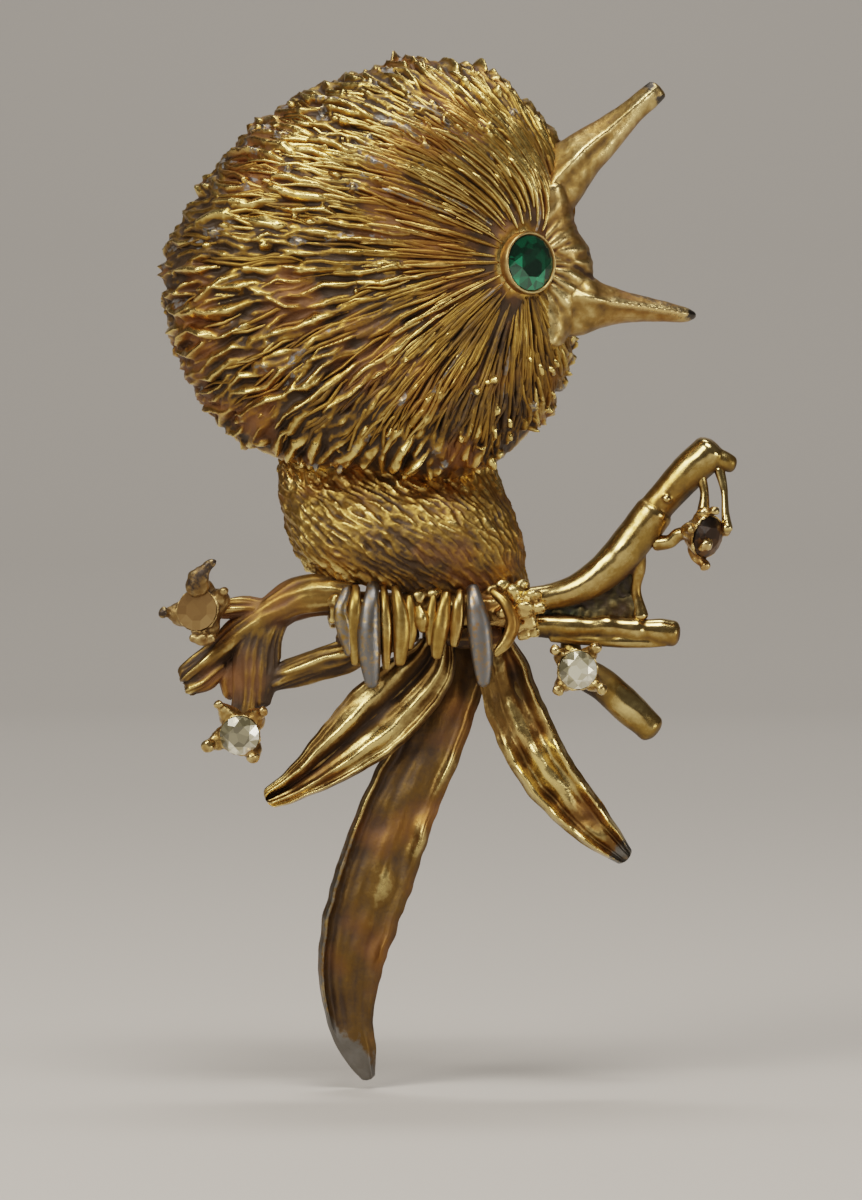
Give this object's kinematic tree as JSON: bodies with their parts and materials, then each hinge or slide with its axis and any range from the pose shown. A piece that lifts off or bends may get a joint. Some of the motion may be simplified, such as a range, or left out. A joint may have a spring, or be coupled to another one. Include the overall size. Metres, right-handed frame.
{
  "type": "brooch",
  "caption": "Figural bird brooch: domed feathered head with stone eye and open beak, bird gripping a forked twig with stone-set buds and long tail feathers, hinged pin and safety catch behind.",
  "frame": {"origin": "middle of the pin stem's round part, on its axis", "axes": "+Z is the bird's up as worn, the front faces -Y, +X is to the viewer's right, towards the beak and the pin's hinge"},
  "size_m": [0.0425, 0.014, 0.0758],
  "materials": {
    "plated_casting": "aged gold plate with brown crevices and grey worn tips",
    "pin_finding": "gold plated finding, lightly worn",
    "green_stone": "faceted emerald green foil-back glass",
    "clear_stone": "faceted clear foil-back glass",
    "aged_stone": "faceted glass with yellowed foil"
  },
  "bodies": {
    "brooch": {"head_shell": "plated_casting", "eye_bezel": "plated_casting", "eye_stone": "green_stone", "upper_beak": "plated_casting", "lower_beak": "plated_casting", "body_shell": "plated_casting", "left_foot": "plated_casting", "right_foot": "plated_casting", "perch": "plated_casting", "left_limb": "plated_casting", "left_flower_twig": "plated_casting", "left_drop_twig": "plated_casting", "left_under_twig": "plated_casting", "right_upper_limb": "plated_casting", "right_flower_twig": "plated_casting", "right_lower_limb": "plated_casting", "right_hanging_twig": "plated_casting", "setting_upper_left": "plated_casting", "setting_lower_left": "plated_casting", "setting_upper_right": "plated_casting", "setting_lower_right": "plated_casting", "stone_upper_left": "aged_stone", "stone_lower_left": "clear_stone", "stone_upper_right": "aged_stone", "stone_lower_right": "clear_stone", "tail_long": "plated_casting", "tail_left": "plated_casting", "tail_right": "plated_casting", "pin_bar": "pin_finding", "hinge_rivet": "pin_finding", "catch_housing": "pin_finding"},
    "pin": {"pin_stem": "pin_finding"},
    "safety": {"catch_roller": "pin_finding"}
  },
  "joints": [
    {"name": "pin_swing", "type": "hinge", "parent": "brooch", "child": "pin", "pos_m": [0.011, 0, 0], "axis": [0, 0, -1], "range_deg": [0, 95]},
    {"name": "safety_turn", "type": "hinge", "parent": "brooch", "child": "safety", "pos_m": [-0.01101, 0, 0], "axis": [1, 0, 0], "range_deg": [0, 120]}
  ]
}
